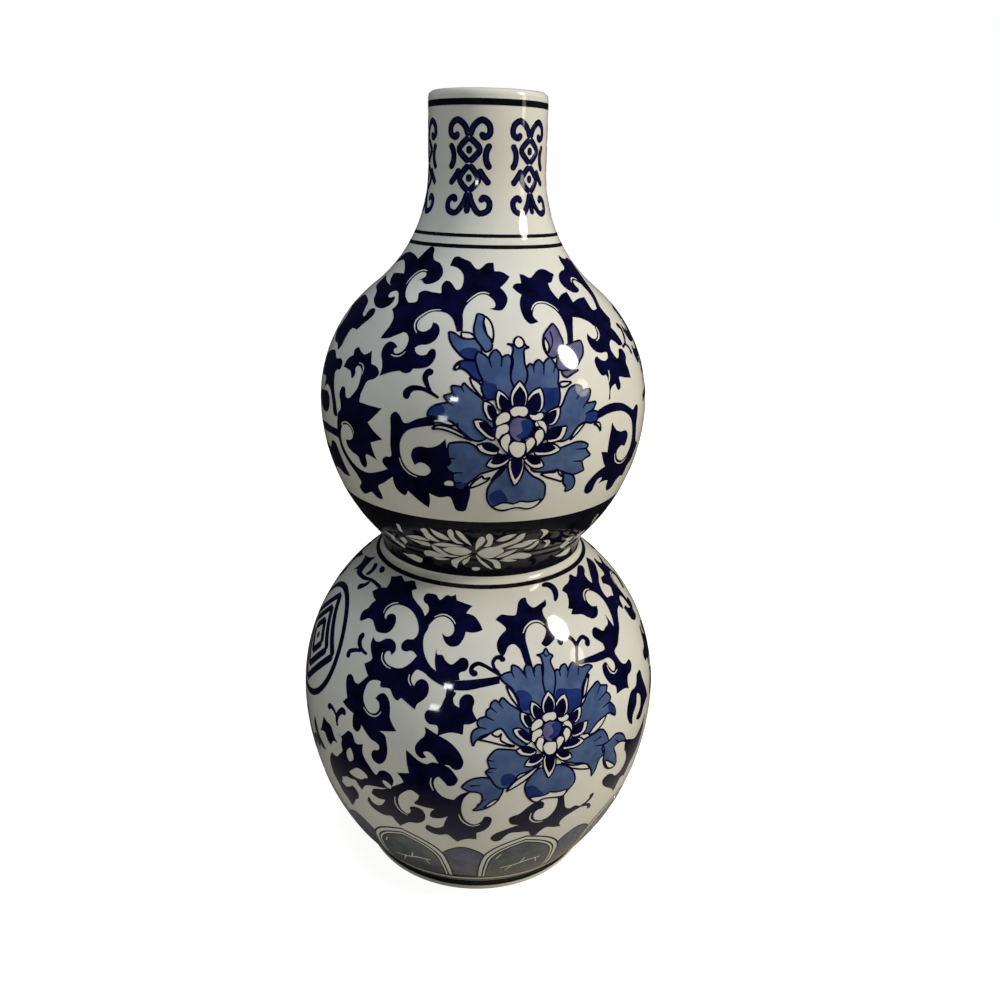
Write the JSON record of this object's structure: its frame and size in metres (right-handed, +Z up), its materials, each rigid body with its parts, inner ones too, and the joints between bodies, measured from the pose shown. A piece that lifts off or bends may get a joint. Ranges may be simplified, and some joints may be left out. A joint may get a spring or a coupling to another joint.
{
  "type": "double gourd vase",
  "caption": "Double gourd vase in blue-and-white glazed porcelain: large lower bulb, drawn-in waist, smaller upper bulb, straight neck with an open mouth, low foot ring.",
  "frame": {"origin": "middle of the foot ring, on the plane that the vase stands on", "axes": "+Z up along the axis of the vase, towards its mouth; -Y is the side in the picture"},
  "size_m": [0.172, 0.172, 0.355],
  "materials": {
    "white_glaze": "gloss clear glaze over white porcelain",
    "foot_biscuit": "glazed side, bare biscuit standing edge",
    "slip": "fired slip under the glaze",
    "cobalt": "painted cobalt blue under gloss glaze"
  },
  "bodies": {
    "root": {"foot_ring": "foot_biscuit", "foot_slip": "slip", "base_disc": "white_glaze", "lower_bowl": "white_glaze", "belly_slip": "slip", "lower_shoulder": "white_glaze", "waist_slip": "slip", "upper_bowl": "white_glaze", "bulb_slip": "slip", "upper_shoulder": "white_glaze", "neck_slip": "slip", "neck": "white_glaze"}
  },
  "joints": []
}
